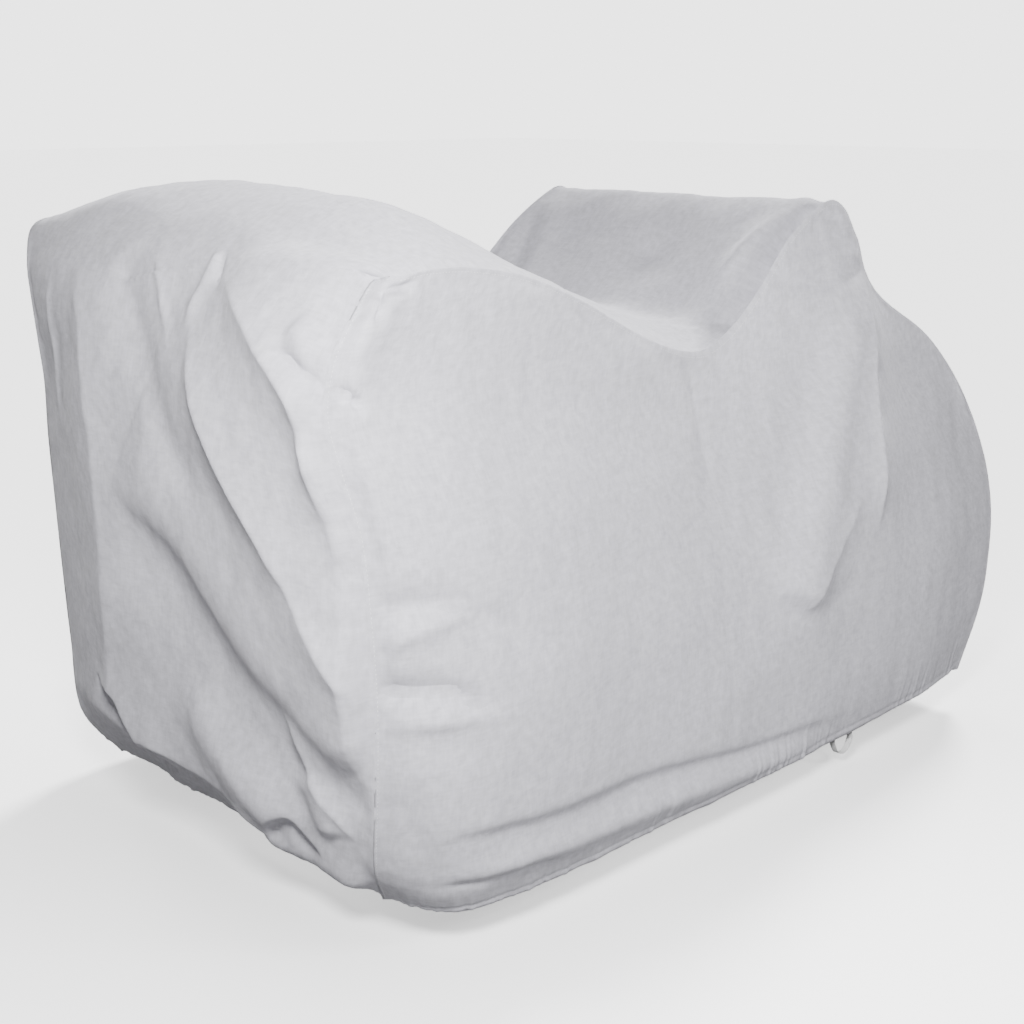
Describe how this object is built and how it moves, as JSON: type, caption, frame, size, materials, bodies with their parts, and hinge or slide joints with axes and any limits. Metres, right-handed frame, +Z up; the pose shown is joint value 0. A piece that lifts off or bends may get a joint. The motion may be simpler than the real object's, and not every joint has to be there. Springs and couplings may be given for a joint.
{
  "type": "quad bike cover",
  "caption": "Fitted grey cloth cover for a quad bike, draped over the machine's form, hollow and open below, with a centre panel, side panels and a tape loop.",
  "frame": {"origin": "holding point on the middle plane, just under the centre panel near the dip, 1.035 m above the ground", "axes": "+X towards the front, +Y towards the left side, +Z up"},
  "size_m": [2.0793, 1.3114, 1.2719],
  "materials": {
    "cover_cloth": "matte grey non-woven cloth with a faint mottle",
    "tape": "white woven tape"
  },
  "bodies": {
    "root": {"centre_panel": "cover_cloth", "side_panel_right": "cover_cloth", "side_panel_left": "cover_cloth", "tape_loop": "tape"}
  },
  "joints": []
}
